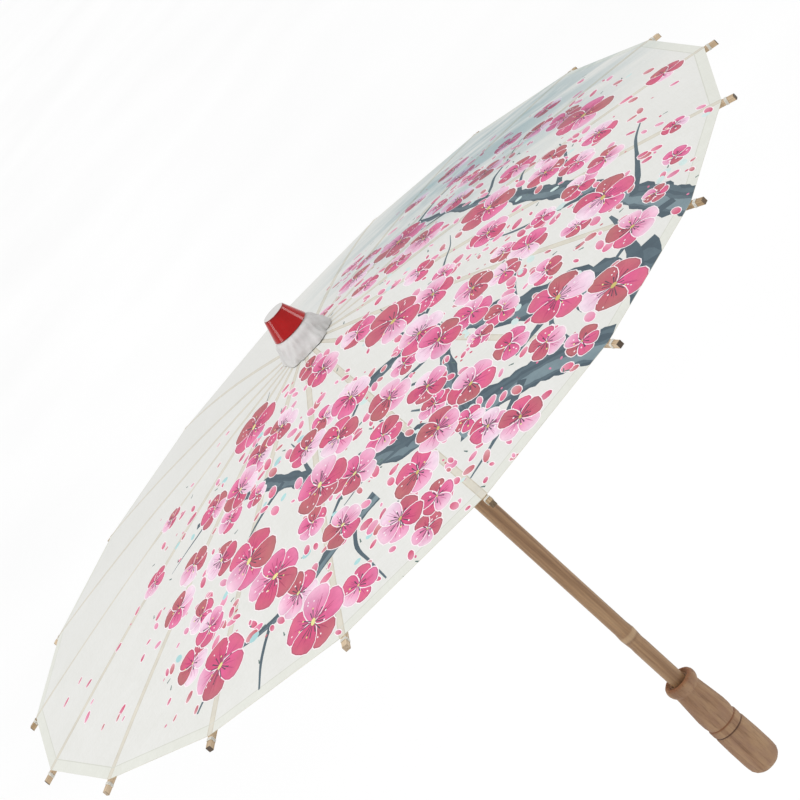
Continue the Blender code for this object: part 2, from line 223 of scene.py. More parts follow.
def split_bamboo(name, skin, flesh, fibre, burnt=0.85):
    mat = new_material(name, Specular_IOR_Level=0.4)
    where = radial_coords(mat, 9.0, 160.0, 420.0)
    grain = cloud(mat, where, 2.2, 5.0, 0.62)
    blotch = cloud(mat, coords(mat, (30, 30, 30)), 1.0, 3.0)
    colour = ramp(mat, grain, (0.28, rgba(*fibre)), (0.48, rgba(*flesh)), (0.72, rgba(*skin)))
    colour = blend_colour(mat, span(mat, blotch, 0.35, 0.7, 0.0, 0.35), colour, rgba(*fibre), "MIX")
    place = add(mat, "TexCoord").outputs["Object"]
    flat = add(mat, "VectorMath", {0: place, 1: (1, 1, 0)}, operation="MULTIPLY")
    out = add(mat, "VectorMath", {0: flat.outputs[0]}, operation="LENGTH").outputs["Value"]
    end_grain = span(mat, out, RIB_END - 0.0009, RIB_END - 0.0004, 0.0, burnt)
    colour = blend_colour(mat, end_grain, colour, rgba(52, 38, 28))
    fine = cloud(mat, where, 7.0, 3.0, 0.6)
    return wire(
        mat,
        Base_Color=colour,
        Roughness=span(mat, grain, 0.25, 0.75, 0.62, 0.42),
        Normal=bump(mat, fine, 0.0004, 0.5, bump(mat, grain, 0.0006, 0.5)),
    )


def shaft_bamboo():
    mat = new_material("shaft_bamboo_stained", Specular_IOR_Level=0.45)
    long_grain = cloud(mat, coords(mat, (230, 230, 7)), 1.0, 6.0, 0.62)
    streak = cloud(mat, coords(mat, (95, 95, 2.2)), 1.0, 4.0, 0.6, 0.4)
    height = height_of(mat)
    colour = ramp(
        mat, long_grain,
        (0.26, rgba(104, 76, 52)), (0.45, rgba(146, 113, 80)),
        (0.58, rgba(166, 133, 98)), (0.8, rgba(188, 157, 119)),
    )
    colour = blend_colour(mat, span(mat, streak, 0.46, 0.66, 0.0, 0.75), colour, rgba(112, 80, 56))
    ring = band(mat, height, SHAFT_NODE, 0.0022, 0.0016)
    under = band(mat, height, SHAFT_NODE - 0.0036, 0.0004, 0.0022)
    colour = blend_colour(mat, sums(mat, "MULTIPLY", ring, 0.65), colour, rgba(184, 156, 122))
    colour = blend_colour(mat, sums(mat, "MULTIPLY", under, 0.3), colour, rgba(98, 72, 50))
    return wire(
        mat,
        Base_Color=colour,
        Roughness=span(mat, streak, 0.3, 0.7, 0.38, 0.56),
        Normal=bump(mat, long_grain, 0.0005, 0.45),
    )


def handle_wood():
    mat = new_material("handle_turned_wood", Specular_IOR_Level=0.35)
    where = coords(mat, (60, 60, 9))
    grain = cloud(mat, where, 1.0, 6.0, 0.6, 0.5)
    pores = cloud(mat, coords(mat, (520, 520, 36)), 1.0, 3.0, 0.7)
    mottle = cloud(mat, coords(mat, (90, 90, 44)), 1.0, 5.0, 0.62)
    height = height_of(mat)
    colour = ramp(
        mat, grain,
        (0.25, rgba(124, 90, 64)), (0.44, rgba(146, 113, 86)),
        (0.58, rgba(160, 128, 97)), (0.8, rgba(178, 147, 110)),
    )
    colour = blend_colour(mat, span(mat, mottle, 0.46, 0.7, 0.0, 0.6), colour, rgba(138, 106, 90))
    colour = blend_colour(mat, span(mat, pores, 0.5, 0.7, 0.0, 0.5), colour, rgba(102, 72, 52))
    burnt_upper = band(mat, height, HANDLE_TOP - 0.0587, 0.0002, 0.0009)
    burnt_lower = band(mat, height, HANDLE_TOP - 0.0679, 0.0003, 0.0009)
    # the top 3 mm of the handle, round the recess there, is blended towards a darker orange brown
    browner_top = span(mat, height, HANDLE_TOP - 0.0030, HANDLE_TOP - 0.0002)
    colour = blend_colour(mat, sums(mat, "MULTIPLY", burnt_upper, 0.8), colour, rgba(116, 66, 36))
    colour = blend_colour(mat, sums(mat, "MULTIPLY", burnt_lower, 0.9), colour, rgba(70, 42, 28))
    colour = blend_colour(mat, sums(mat, "MULTIPLY", browner_top, 0.55), colour, rgba(150, 88, 46))
    return wire(
        mat,
        Base_Color=colour,
        Roughness=span(mat, grain, 0.3, 0.7, 0.74, 0.56),
        Normal=bump(mat, pores, 0.0003, 0.35, bump(mat, grain, 0.0004, 0.3)),
    )


def hub_wood():
    mat = new_material("hub_turned_wood", Specular_IOR_Level=0.4)
    grain = cloud(mat, coords(mat, (130, 130, 14)), 1.0, 5.0, 0.6)
    pores = cloud(mat, coords(mat, (620, 620, 50)), 1.0, 2.0, 0.6)
    colour = ramp(
        mat, grain, (0.28, rgba(150, 116, 80)), (0.5, rgba(188, 154, 112)), (0.75, rgba(208, 178, 138)),
    )
    colour = blend_colour(mat, span(mat, pores, 0.55, 0.75, 0.0, 0.4), colour, rgba(120, 88, 60))
    return wire(mat, Base_Color=colour, Roughness=span(mat, grain, 0.3, 0.7, 0.5, 0.62),
                Normal=bump(mat, pores, 0.0003, 0.4))


def thread_cotton():
    mat = new_material("thread_cotton", Roughness=0.85, Sheen_Weight=0.2)
    where = coords(mat, (1, 1, 1), (0.6, 0.5, 0.2))
    twist = add(mat, "TexWave", {"Vector": where, "Scale": 900.0, "Distortion": 1.5})
    fluff = cloud(mat, coords(mat, (1500, 1500, 1500)), 1.0, 2.0)
    colour = ramp(mat, fluff, (0.3, rgba(206, 202, 190)), (0.7, rgba(240, 238, 230)))
    return wire(mat, Base_Color=colour, Normal=bump(mat, twist.outputs["Fac"], 0.0002, 0.6))


def red_lacquer():
    mat = new_material("red_lacquer", Specular_IOR_Level=0.08, Coat_Weight=0.5, Coat_Roughness=0.12)
    height = height_of(mat)
    brush = cloud(mat, coords(mat, (55, 55, 55)), 1.0, 3.0)
    colour = ramp(mat, brush, (0.3, rgba(150, 2, 3)), (0.7, rgba(176, 5, 6)))
    # painted shade: a thin dark red ring just under the rim of the finial's top
    edge = band(mat, height, FINIAL_TOP - 0.0009, 0.0003, 0.0006)
    colour = blend_colour(mat, sums(mat, "MULTIPLY", edge, 0.5), colour, rgba(96, 6, 10))
    # painted reflection: the flat top is painted pale grey, standing in for the glossy lacquer reflecting the
    # bright surroundings
    top = span(mat, height, FINIAL_TOP - 0.0004, FINIAL_TOP - 0.0002)
    colour = blend_colour(mat, top, colour, rgba(206, 204, 202))
    return wire(mat, Base_Color=colour, Roughness=span(mat, brush, 0.3, 0.7, 0.16, 0.24),
                Normal=bump(mat, brush, 0.0003, 0.03))


def catch_steel():
    mat = new_material("catch_steel", Metallic=1.0)
    drawn = cloud(mat, coords(mat, (900, 900, 30)), 1.0, 3.0)
    colour = ramp(mat, drawn, (0.3, rgba(150, 148, 144)), (0.7, rgba(196, 194, 190)))
    return wire(mat, Base_Color=colour, Roughness=span(mat, drawn, 0.3, 0.7, 0.26, 0.42),
                Normal=bump(mat, drawn, 0.0001, 0.3))


def fibres(mat):
    """Long thin fibres in two directions, as in handmade paper."""
    one = cloud(mat, coords(mat, (70, 520, 70), (0, 0, 0.5)), 1.0, 3.0, 0.6, 1.2)
    two = cloud(mat, coords(mat, (560, 80, 80), (0, 0, -0.3)), 1.0, 3.0, 0.6, 1.2)
    return sums(mat, "MULTIPLY", one, two)


def paper(name, painted, underside=False):
    """Oiled paper: a painted colour attribute, soft fibres and slight cockling."""
    mat = new_material(name, Specular_IOR_Level=0.35)
    strands = fibres(mat)
    cockle = cloud(mat, coords(mat, (14, 14, 14)), 1.0, 3.0, 0.5)
    cloudy = cloud(mat, coords(mat, (26, 26, 26)), 1.0, 4.0, 0.6)
    grit = cloud(mat, coords(mat, (620, 620, 620)), 1.0, 2.0, 0.6)
    if painted:
        colour = add(mat, "Attribute", attribute_name="paint").outputs["Color"]
        if underside:
            colour = blend_colour(mat, 0.66, colour, rgba(214, 206, 184))
        else:
            pool = cloud(mat, coords(mat, (75, 75, 75)), 1.0, 4.0, 0.65)
            tone = ramp(mat, pool, (0.3, (0.84, 0.84, 0.86, 1)), (0.6, (1, 1, 1, 1)))
            flat = blend_colour(mat, 1.0, colour, tone, "MULTIPLY")
            whole = add(mat, "SeparateColor", {0: colour}, mode="HSV").outputs["Green"]
            colour = blend_colour(mat, span(mat, whole, 0.05, 0.25), colour, flat)
            colour = far_wash(mat, colour)
    else:
        colour = ramp(mat, cloudy, (0.3, rgba(186, 185, 185)), (0.7, rgba(214, 213, 212)))
    shade = ramp(mat, strands, (0.12, (0.955, 0.955, 0.945, 1)), (0.34, (1, 1, 1, 1)))
    colour = blend_colour(mat, 1.0, colour, shade, "MULTIPLY")
    shade = ramp(mat, cloudy, (0.3, (0.972, 0.972, 0.962, 1)), (0.7, (1, 1, 1, 1)))
    colour = blend_colour(mat, 1.0, colour, shade, "MULTIPLY")
    relief = bump(mat, cockle, 0.006, 0.09)
    relief = bump(mat, strands, 0.0004, 0.35, relief)
    relief = bump(mat, grit, 0.00015, 0.3, relief)
    return wire(mat, Base_Color=colour, Roughness=span(mat, cloudy, 0.3, 0.7, 0.46, 0.6), Normal=relief)


def far_wash(mat, colour):
    """A pale blue mist brushed over the far side of the paper."""
    place = add(mat, "TexCoord").outputs["Object"]
    off = add(mat, "VectorMath", {0: place, 1: (0.20, 0.20, 0.55)}, operation="DISTANCE").outputs["Value"]
    near = span(mat, off, 0.06, 0.24, 1.0, 0.0)
    strokes = cloud(mat, coords(mat, (9, 30, 20), (0, 0, 0.9)), 1.0, 5.0, 0.62, 0.6)
    share = sums(mat, "MULTIPLY", near, span(mat, strokes, 0.34, 0.6, 0.1, 0.95))
    return blend_colour(mat, share, colour, rgba(176, 200, 208), "MULTIPLY")


# ---------------------------------------------------------------- the painting, in plan

def at(angle, radius):
    """A point of the plan, in millimetres, from its angle in degrees."""
    return np.array((math.cos(math.radians(angle)), math.sin(math.radians(angle)))) * radius


def even(first, second=None, length=1.0, origin=(0, 0), along=(1, 0)):
    """A colour that runs from first at origin to second after length."""
    first = np.asarray(first, float)
    second = first if second is None else np.asarray(second, float)
    origin, along = np.asarray(origin, float), np.asarray(along, float)

    def colour(points):
        share = np.clip(((points - origin) @ along) / length, 0, 1)[..., None]
        return first * (1 - share) + second * share

    return colour


class Painting:
    """Flat shapes, painted one over the other."""

    def __init__(self):
        self.shapes = []

    def fill(self, outline, colour):
        self.shapes.append((np.asarray(outline, float), colour))

    def line(self, points, widths, colour, rough=0.0, seed=0):
        self.fill(ribbon(points, widths, rough, seed), colour)


def smooth_path(points, widths, spacing=5.0):
    """A smooth curve through the points, with a width at each of its own."""
    points = [np.asarray(p, float) for p in points]
    ends = [2 * points[0] - points[1], *points, 2 * points[-1] - points[-2]]
    path, wide = [], []
    for i in range(len(points) - 1):
        a, b, c, d = ends[i:i + 4]
        count = max(2, int(np.linalg.norm(c - b) / spacing))
        for k in range(count + (i == len(points) - 2)):
            t = k / count
            path.append(0.5 * (2 * b + (c - a) * t + (2 * a - 5 * b + 4 * c - d) * t * t
                               + (3 * b - a - 3 * c + d) * t ** 3))
            wide.append(widths[i] * (1 - t) + widths[i + 1] * t)
    return np.array(path), np.array(wide)


def ribbon(points, widths, rough=0.0, seed=0, shift=0.0):
    """The outline of a brush stroke along the points."""
    path, wide = smooth_path(points, widths)
    ahead = np.gradient(path, axis=0)
    ahead /= np.linalg.norm(ahead, axis=1)[:, None]
    side = np.stack([-ahead[:, 1], ahead[:, 0]], 1)
    left, right = [], []
    for i, (p, n, w) in enumerate(zip(path, side, wide)):
        p = p + n * w * shift
        one = noise.noise((i * 0.31, seed, 0)) + 0.4 * noise.noise((i * 0.9, seed, 5))
        two = noise.noise((i * 0.31, seed, 9)) + 0.4 * noise.noise((i * 0.9, seed, 14))
        left.append(p + n * w * (0.5 + rough * one))
        right.append(p - n * w * (0.5 + rough * two))
    return np.array(left + right[::-1])


SLATE = (88, 107, 117)
SLATE_DARK = (72, 90, 101)
SLATE_LIGHT = (124, 144, 152)

# A plum tree's boughs: where each starts (angle in degrees, radius in mm), its first heading in degrees,
# its length and width in mm, and how far it curls in degrees. They wander as they grow.
BOUGHS = (
    (-50, 406, 140, 290, 56, 30),
    (-60, 402, 160, 460, 36, 15),
    (-40, 406, 118, 400, 34, 30),
    (-75, 330, 95, 220, 22, 40),
    (-90, 290, 205, 170, 16, -30),
)
BOUGH_STEP = 26.0
BOUGH_WANDER = 0.32        # how far a bough turns at random at each step, in radians
BOUGH_TAPER = 0.82         # the share of its width that it loses towards its tip
WOOD_FROM, WOOD_TO = 46, 392       # radii in mm that the wood keeps between
BLOOM_FROM, BLOOM_TO = 40, 384     # and the middles of the blossoms
BLOOM_GAP = 0.27           # least distance between two blossoms, as a share of the sum of their sizes
TREE_SEED = 21
# Blossoms: kind, least and greatest size in mm, how many are tried, and their spread off the wood in mm
CROWDS = (("full", (74, 84), 14, 26), ("starry", (48, 62), 50, 38), ("small", (32, 54), 190, 54))

PINKS = (
    ((216, 66, 126), (205, 98, 120)),
    ((226, 84, 146), (216, 104, 134)),
    ((198, 84, 108), (184, 108, 110)),
    ((214, 74, 130), (232, 128, 170)),
    ((200, 76, 112), (196, 106, 118)),
)
PALES = (
    ((224, 120, 168), (246, 214, 230)),
    ((236, 172, 206), (244, 226, 238)),
    ((222, 104, 156), (240, 186, 212)),
)
BUDS = ((214, 92, 126), (222, 110, 148), (196, 98, 108), (228, 128, 166), (206, 76, 112))
WHITE = (244, 234, 238)
STAMEN = (88, 66, 82)
BLOSSOM_SCALE = 0.69
HEART = (232, 226, 150)
AQUA = (172, 216, 218)
LEAF = (92, 116, 112)


class Spot:
    """A place on the paper."""

    def __init__(self, angle, radius):
        self.middle = at(angle, radius)

    def put(self, points):
        return self.middle + np.asarray(points, float)


def oval(x, y, long, wide, turn=0.0, count=8):
    angles = np.linspace(0, 2 * math.pi, count, endpoint=False)
    flat = np.stack([np.cos(angles) * long / 2, np.sin(angles) * wide / 2], 1)
    c, s = math.cos(turn), math.sin(turn)
    return flat @ np.array(((c, s), (-s, c))) + (x, y)


def petal(length, width, turn, grow=0.0, base=0.0, dent=0.0, count=15):
    """A rounded petal that starts at the middle of its blossom and widens outwards."""
    angles = np.linspace(0, 2 * math.pi, count, endpoint=False)
    far = 0.5 - 0.5 * np.cos(angles)
    x = base * length + far * length * (1 - base) - dent * length * np.exp(-((angles - math.pi) / 0.35) ** 2)
    y = width / 2 * np.sin(angles) * (0.52 + 0.62 * far)
    x = x + grow * -np.cos(angles)
    y = y + grow * np.sign(np.sin(angles)) * np.minimum(1, np.abs(np.sin(angles)) * 1.5)
    c, s = math.cos(turn), math.sin(turn)
    return np.stack([x * c - y * s, x * s + y * c], 1)


def quad(start, end, wide, wide_end):
    start, end = np.asarray(start, float), np.asarray(end, float)
    ahead = (end - start) / max(1e-6, np.linalg.norm(end - start))
    side = np.array((-ahead[1], ahead[0])) / 2
    return np.array([start + side * wide, start - side * wide, end - side * wide_end, end + side * wide_end])


def paint_petal(art, spot, length, width, turn, tones, dent, rim_tone=0.86):
    inner, outer = (np.array(tone, float) for tone in tones)
    ends = spot.put([(0, 0), (math.cos(turn) * length, math.sin(turn) * length)])
    along = ends[1] - ends[0]
    far = np.linalg.norm(along)
    run = even(inner, outer, far, ends[0], along / far)
    rim = even(inner * 0.96, outer * rim_tone, far, ends[0], along / far)
    art.fill(spot.put(petal(length, width, turn, grow=0.8, dent=dent)), even(WHITE))
    art.fill(spot.put(petal(length, width, turn, dent=dent)), rim)
    art.fill(spot.put(petal(length, width, turn, grow=-0.9, dent=dent)), run)


def paint_blossom(art, kind, place, seed):
    angle, radius, size, first = place
    dice = random.Random(seed)
    spot = Spot(angle, radius)
    size = size * BLOSSOM_SCALE
    reach = size * 0.55
    order = list(range(5))
    dice.shuffle(order)
    pale_side = dice.uniform(0, 2 * math.pi)
    for k in order:
        turn = math.radians(first) + 2 * math.pi * k / 5 + dice.uniform(-0.12, 0.12)
        paleness = math.cos(turn - pale_side)
        pale = paleness > {"small": 0.55, "starry": 0.15, "full": 0.82}[kind]
        tones = dice.choice(PALES if pale else PINKS)
        length = reach * dice.uniform(0.88, 1.06)
        width = size * dice.uniform(0.50, 0.60)
        paint_petal(art, spot, length, width, turn, tones, dice.uniform(0.0, 0.07), 0.97 if pale else 0.87)
        for _ in range(3):
            side = turn + dice.uniform(-0.35, 0.35)
            start, end = dice.uniform(0.18, 0.3) * length, dice.uniform(0.55, 0.8) * length
            way = np.array((math.cos(side), math.sin(side)))
            tone = np.array(tones[0], float) * (0.86 if not pale else 0.9)
            art.fill(spot.put(quad(way * start, way * end, size * 0.022, 0.3)), even(tone))
    stamens = {"small": 7, "starry": 13, "full": 15}[kind]
    for k in range(stamens):
        turn = 2 * math.pi * k / stamens + dice.uniform(-0.16, 0.16)
        way = np.array((math.cos(turn), math.sin(turn)))
        long = size * dice.uniform(0.15, 0.26)
        art.fill(spot.put(quad(way * size * 0.03, way * long, 0.5, 1.1)), even(STAMEN))
        if k % 2:
            tip = way * long * 1.08
            tone = dice.choice((STAMEN, HEART, WHITE))
            art.fill(spot.put(oval(tip[0], tip[1], 2.0, 1.7, turn, 6)), even(tone))
    heart = size * {"small": 0.05, "starry": 0.07, "full": 0.085}[kind]
    middle = spot.put(oval(0, 0, heart * 1.5, heart, math.radians(first)))
    art.fill(middle, even(HEART, (206, 190, 110), heart))
    for _ in range({"small": 3, "starry": 4, "full": 7}[kind]):
        turn, out = dice.uniform(0, 2 * math.pi), size * dice.uniform(0.22, 0.42)
        art.fill(spot.put(oval(out * math.cos(turn), out * math.sin(turn), 2.0, 1.4, turn, 6)), even(WHITE))


def paint_bud(art, angle, radius, long, wide, turn, tone):
    spot = Spot(angle, radius)
    pale = np.array(tone, float) * 0.55 + np.array(WHITE, float) * 0.45
    along = np.array((math.cos(turn), math.sin(turn)))
    art.fill(spot.put(oval(0, 0, long + 1.6, wide + 1.6, turn, 10)), even(WHITE))
    art.fill(spot.put(oval(0, 0, long, wide, turn, 10)),
             even(tone, pale, long, spot.middle - along * long / 2, along))


def grow(dice, start, heading, length, width, curl):
    """Points and widths of a bough, which wanders, thins towards its tip and stops at the paper's edge."""
    place = np.array(start, float)
    points, widths = [place], [width]
    steps = max(3, round(length / BOUGH_STEP))
    for i in range(steps):
        heading += math.radians(curl) / steps + dice.uniform(-BOUGH_WANDER, BOUGH_WANDER)
        place = place + length / steps * np.array((math.cos(heading), math.sin(heading)))
        if not WOOD_FROM < np.hypot(*place) < WOOD_TO:
            break
        points.append(place)
        widths.append(width * (1 - BOUGH_TAPER * (i + 1) / steps) * dice.uniform(0.85, 1.15))
    return points, widths


def tree(dice):
    """Boughs, their twigs, and blossoms (angle, radius, size and turn) crowded along them, by kind."""
    boughs, twigs, blossoms, taken = [], [], {"small": [], "starry": [], "full": []}, []

    def bloom(kind, spot, sizes):
        size, out = dice.uniform(*sizes), float(np.hypot(*spot))
        room = all(np.hypot(*(spot - other)) > BLOOM_GAP * (size + wide) for other, wide in taken)
        if BLOOM_FROM < out < BLOOM_TO and room:
            taken.append((spot, size))
            angle = math.degrees(math.atan2(spot[1], spot[0]))
            blossoms[kind].append((angle, out, size, dice.uniform(0, 72)))

    for angle, radius, heading, length, width, curl in BOUGHS:
        points, widths = grow(dice, at(angle, radius), math.radians(heading), length, width, curl)
        if len(points) > 2:
            boughs.append((points, widths))
        for i in range(1, len(points)):
            way = points[i] - points[i - 1]
            side = dice.choice((-1, 1))
            if i % 2:
                lean = math.atan2(way[1], way[0]) + side * dice.uniform(0.6, 1.1)
                twig = grow(dice, points[i], lean, dice.uniform(60, 130), max(4, 0.3 * widths[i]), 20 * side)
                if len(twig[0]) > 2:
                    twigs.append(twig)
    ends = [point for points, _ in boughs + twigs for point in points[1:]]
    for kind, sizes, tries, spread in CROWDS:
        for _ in range(tries):
            off = np.array((dice.gauss(0, spread), dice.gauss(0, spread)))
            bloom(kind, dice.choice(ends) + off, sizes)
    return boughs, twigs, blossoms


def paint_limb(art, points, widths, seed, fine=False):
    start, end = points[0], points[-1]
    way = end - start
    length = np.linalg.norm(way)
    way = way / length
    if fine:
        art.line(points, widths, even(SLATE_DARK, SLATE, length, start, way), 0.12, seed)
        return
    art.line(points, widths, even(SLATE_DARK), 0.3, seed)
    body = ribbon(points, [w * 0.82 for w in widths], 0.14, seed + 1)
    art.fill(body, even(SLATE, SLATE_DARK, length, start, way))
    art.fill(ribbon(points, [w * 0.34 for w in widths], 0.5, seed + 2, 0.45),
             even(SLATE_LIGHT, SLATE, length, start, way))
    art.fill(ribbon(points, [w * 0.12 for w in widths], 0.9, seed + 3, -1.6), even(SLATE_DARK))


def scatter(art, dice, blossoms):
    """Small buds, petals and specks around the blossoms and along the branches."""
    places = blossoms["full"] + blossoms["starry"] + blossoms["small"]
    for angle, radius, size, _ in places:
        middle = at(angle, radius)
        for _ in range(6 if size > 45 else 4):
            turn = dice.uniform(0, 2 * math.pi)
            spot = middle + size * dice.uniform(0.62, 1.05) * np.array((math.cos(turn), math.sin(turn)))
            out, way = float(np.hypot(*spot)), math.degrees(math.atan2(spot[1], spot[0]))
            if 30 < out < 394:
                long = dice.uniform(5, 14)
                paint_bud(art, way, out, long, long * dice.uniform(0.45, 0.75), dice.uniform(0, math.pi),
                          dice.choice(BUDS))
        for _ in range(3):
            turn = dice.uniform(0, 2 * math.pi)
            spot = middle + size * dice.uniform(0.6, 1.2) * np.array((math.cos(turn), math.sin(turn)))
            lean = dice.uniform(0, math.pi)
            if dice.random() < 0.45:
                tip = (4.5 * math.cos(lean), 4.5 * math.sin(lean))
                art.fill(spot + quad((0, 0), tip, 1.6, 0.8), even(LEAF))
            else:
                art.fill(oval(spot[0], spot[1], dice.uniform(2, 4), dice.uniform(1.5, 2.6), lean, 7),
                         even(dice.choice(BUDS)))
        if dice.random() < 0.6:
            turn = dice.uniform(0, 2 * math.pi)
            spot = middle + size * dice.uniform(0.5, 1.0) * np.array((math.cos(turn), math.sin(turn)))
            wide = dice.uniform(5, 11)
            art.fill(oval(spot[0], spot[1], wide, wide * 0.7, turn, 9), even(AQUA, (206, 226, 224), wide))
    # petals adrift under the lower branches
    for angle in range(-170, -70, 7):
        for _ in range(2):
            out = dice.uniform(285, 385)
            way = angle + dice.uniform(-4, 4)
            long = dice.uniform(4, 11)
            turn = math.radians(way) + dice.uniform(-0.5, 0.5)
            paint_bud(art, way, out, long, long * 0.6, turn, dice.choice(BUDS))


def painted():
    art = Painting()
    boughs, twigs, blossoms = tree(random.Random(TREE_SEED))
    for i, (points, widths) in enumerate(boughs):
        paint_limb(art, points, widths, 10 * i)
    for i, (points, widths) in enumerate(twigs):
        paint_limb(art, points, widths, 500 + i, fine=True)
    scatter(art, random.Random(11), blossoms)
    for first, kind in ((100, "small"), (200, "starry"), (300, "full")):
        for i, place in enumerate(blossoms[kind]):
            paint_blossom(art, kind, place, first + i)
    return art


# ---------------------------------------------------------------- the paper canopy

PAPER = (222, 222, 219)
HEM_TONE = (220, 221, 214)
HEM_LINE = (206, 207, 198)
STRIP = (215, 210, 197)
STRIP_SIDE = (203, 196, 180)


def half_strip(out):
    """Half the width of the paper glued to a rib, at out mm along it."""
    return STRIP_TIP + (STRIP_FULL - STRIP_TIP) * np.clip((out - HOLE) / (STRIP_FULL_AT - HOLE), 0, 1)


def unit(angle):
    return np.array((math.cos(angle), math.sin(angle)))


def locate(points):
    """Where plan points lie: the rib, the side of it, mm along it, across it and along the gore's middle."""
    angle = np.mod(np.arctan2(points[..., 1], points[..., 0]), 2 * math.pi)
    gore = np.floor(angle / STEP).astype(int) % RIBS
    middle = (gore + 0.5) * STEP
    depth = points[..., 0] * np.cos(middle) + points[..., 1] * np.sin(middle)
    late = angle - gore * STEP > STEP / 2
    rib = (gore + late) % RIBS
    turn = rib * STEP
    along = points[..., 0] * np.cos(turn) + points[..., 1] * np.sin(turn)
    across = -points[..., 0] * np.sin(turn) + points[..., 1] * np.cos(turn)
    return rib, np.where(late, -1, 1), along, np.abs(across), depth


def paper_level(depth):
    """Height of the paper in metres, at depth mm along a gore's middle line."""
    out = depth / math.cos(STEP / 2) * MM
    share = (out - CROWN_RADIUS) / (RIM_RADIUS - CROWN_RADIUS)
    return RIM_HEIGHT + CROWN_RISE * (1 - share) + 4 * RIB_BOW * share * (1 - share) - PAPER_DROP


def plan_lines():
    """The lines every panel is cut along."""
    lines = []
    inner, rim = HOLE, RIM * math.cos(STEP / 2)
    for k in range(RIBS):
        out, side = unit(k * STEP), unit(k * STEP + math.pi / 2)
        for sign in (-1, 1):
            for narrow in (0, STRIP_EDGE):
                edge = [(u, half_strip(u) - narrow) for u in (9, STRIP_FULL_AT, RIM + 4)]
                lines.append([out * u + side * sign * across for u, across in edge])
        middle = (k + 0.5) * STEP
        lines.append([unit(middle) * 9, unit(middle) * (RIM + 4)])
        for depth in (inner, *CHORDS, rim - HEM - 0.8, rim - HEM, rim):
            reach = depth * math.tan(STEP / 2)
            side = unit(middle + math.pi / 2)
            lines.append([unit(middle) * depth - side * reach, unit(middle) * depth + side * reach])
    return lines


def inside(points, outline):
    x, y = points[:, 0], points[:, 1]
    hit = np.zeros(len(points), bool)
    ahead = np.roll(outline, -1, axis=0)
    for (x0, y0), (x1, y1) in zip(outline, ahead):
        crosses = (y0 > y) != (y1 > y)
        if y0 != y1:
            hit ^= crosses & (x < (x1 - x0) * (y - y0) / (y1 - y0) + x0)
    return hit


def base_colour(points, middle):
    """The unpainted paper's colour at the corners of each face."""
    _, _, along, across, depth = locate(middle)
    rim = RIM * math.cos(STEP / 2)
    tone = np.empty((len(middle), 3))
    tone[:] = PAPER
    tone[depth > rim - HEM] = HEM_TONE
    half = half_strip(along)
    tone[across < half] = STRIP
    tone[(across < half) & (across > half - STRIP_EDGE)] = STRIP_SIDE
    tone[(depth > rim - HEM - 0.8) & (depth < rim - HEM)] = HEM_LINE
    return np.repeat(tone[:, None, :], points.shape[1], axis=1)


def cut_plan(art):
    """The whole canopy in plan: vertices, triangles and the colour at each triangle's corners."""
    points, edges = [], []

    def trace(outline, closed):
        first = len(points)
        points.extend(Vector((float(p[0]), float(p[1]))) for p in outline)
        edges.extend((first + i, first + i + 1) for i in range(len(outline) - 1))
        if closed:
            edges.append((len(points) - 1, first))

    for line in plan_lines():
        trace(line, False)
    for outline, _ in art.shapes:
        trace(outline, True)
    flat, _, faces, *_ = delaunay_2d_cdt(points, edges, [], 0, 0.0005, False)
    flat = np.array([tuple(v) for v in flat])
    faces = np.array([f for f in faces if len(f) == 3])
    corners = flat[faces]
    middle = corners.mean(axis=1)
    depth = locate(middle)[4]
    a, b = corners[:, 1] - corners[:, 0], corners[:, 2] - corners[:, 0]
    big = np.abs(a[:, 0] * b[:, 1] - a[:, 1] * b[:, 0]) > 1e-6
    keep = (depth > HOLE) & (depth < RIM * math.cos(STEP / 2)) & big
    faces, corners, middle = faces[keep], corners[keep], middle[keep]
    colours = base_colour(corners, middle)
    for outline, colour in art.shapes:
        low, high = outline.min(axis=0), outline.max(axis=0)
        near = np.nonzero(((middle >= low) & (middle <= high)).all(axis=1))[0]
        if len(near):
            hit = near[inside(middle[near], outline)]
            colours[hit] = colour(corners[hit])
    return flat, faces, middle, colours


def mesh_object(name, vertices, faces, materials, smooth=True):
    mesh = bpy.data.meshes.new(name)
    mesh.from_pydata([tuple(v) for v in vertices], [], [tuple(int(i) for i in f) for f in faces])
    mesh.update()
    if smooth:
        mesh.polygons.foreach_set("use_smooth", [True] * len(mesh.polygons))
        uses = np.bincount([loop.edge_index for loop in mesh.loops], minlength=len(mesh.edges))
        mesh.edges.foreach_set("use_edge_sharp", uses == 1)
    for mat in materials:
        mesh.materials.append(mat)
    made = bpy.data.objects.new(name, mesh)
    bpy.context.scene.collection.objects.link(made)
    return made


def panel(name, flat, faces, colours, materials):
    used, inverse = np.unique(faces, return_inverse=True)
    inverse = inverse.reshape(faces.shape)
    plan = flat[used]
    level = paper_level(locate(plan)[4])
    vertices = np.column_stack([plan * MM, level])
    made = mesh_object(name, vertices, inverse, materials)
    layer = made.data.color_attributes.new("paint", "FLOAT_COLOR", "CORNER")
    values = np.ones((len(faces) * 3, 4))
    values[:, :3] = linear(colours.reshape(-1, 3))
    layer.data.foreach_set("color", values.ravel())
    thick = made.modifiers.new("thickness", "SOLIDIFY")
    thick.thickness = PAPER_THICKNESS
    thick.offset = -1
    thick.material_offset = 1
    thick.material_offset_rim = 1
    return made


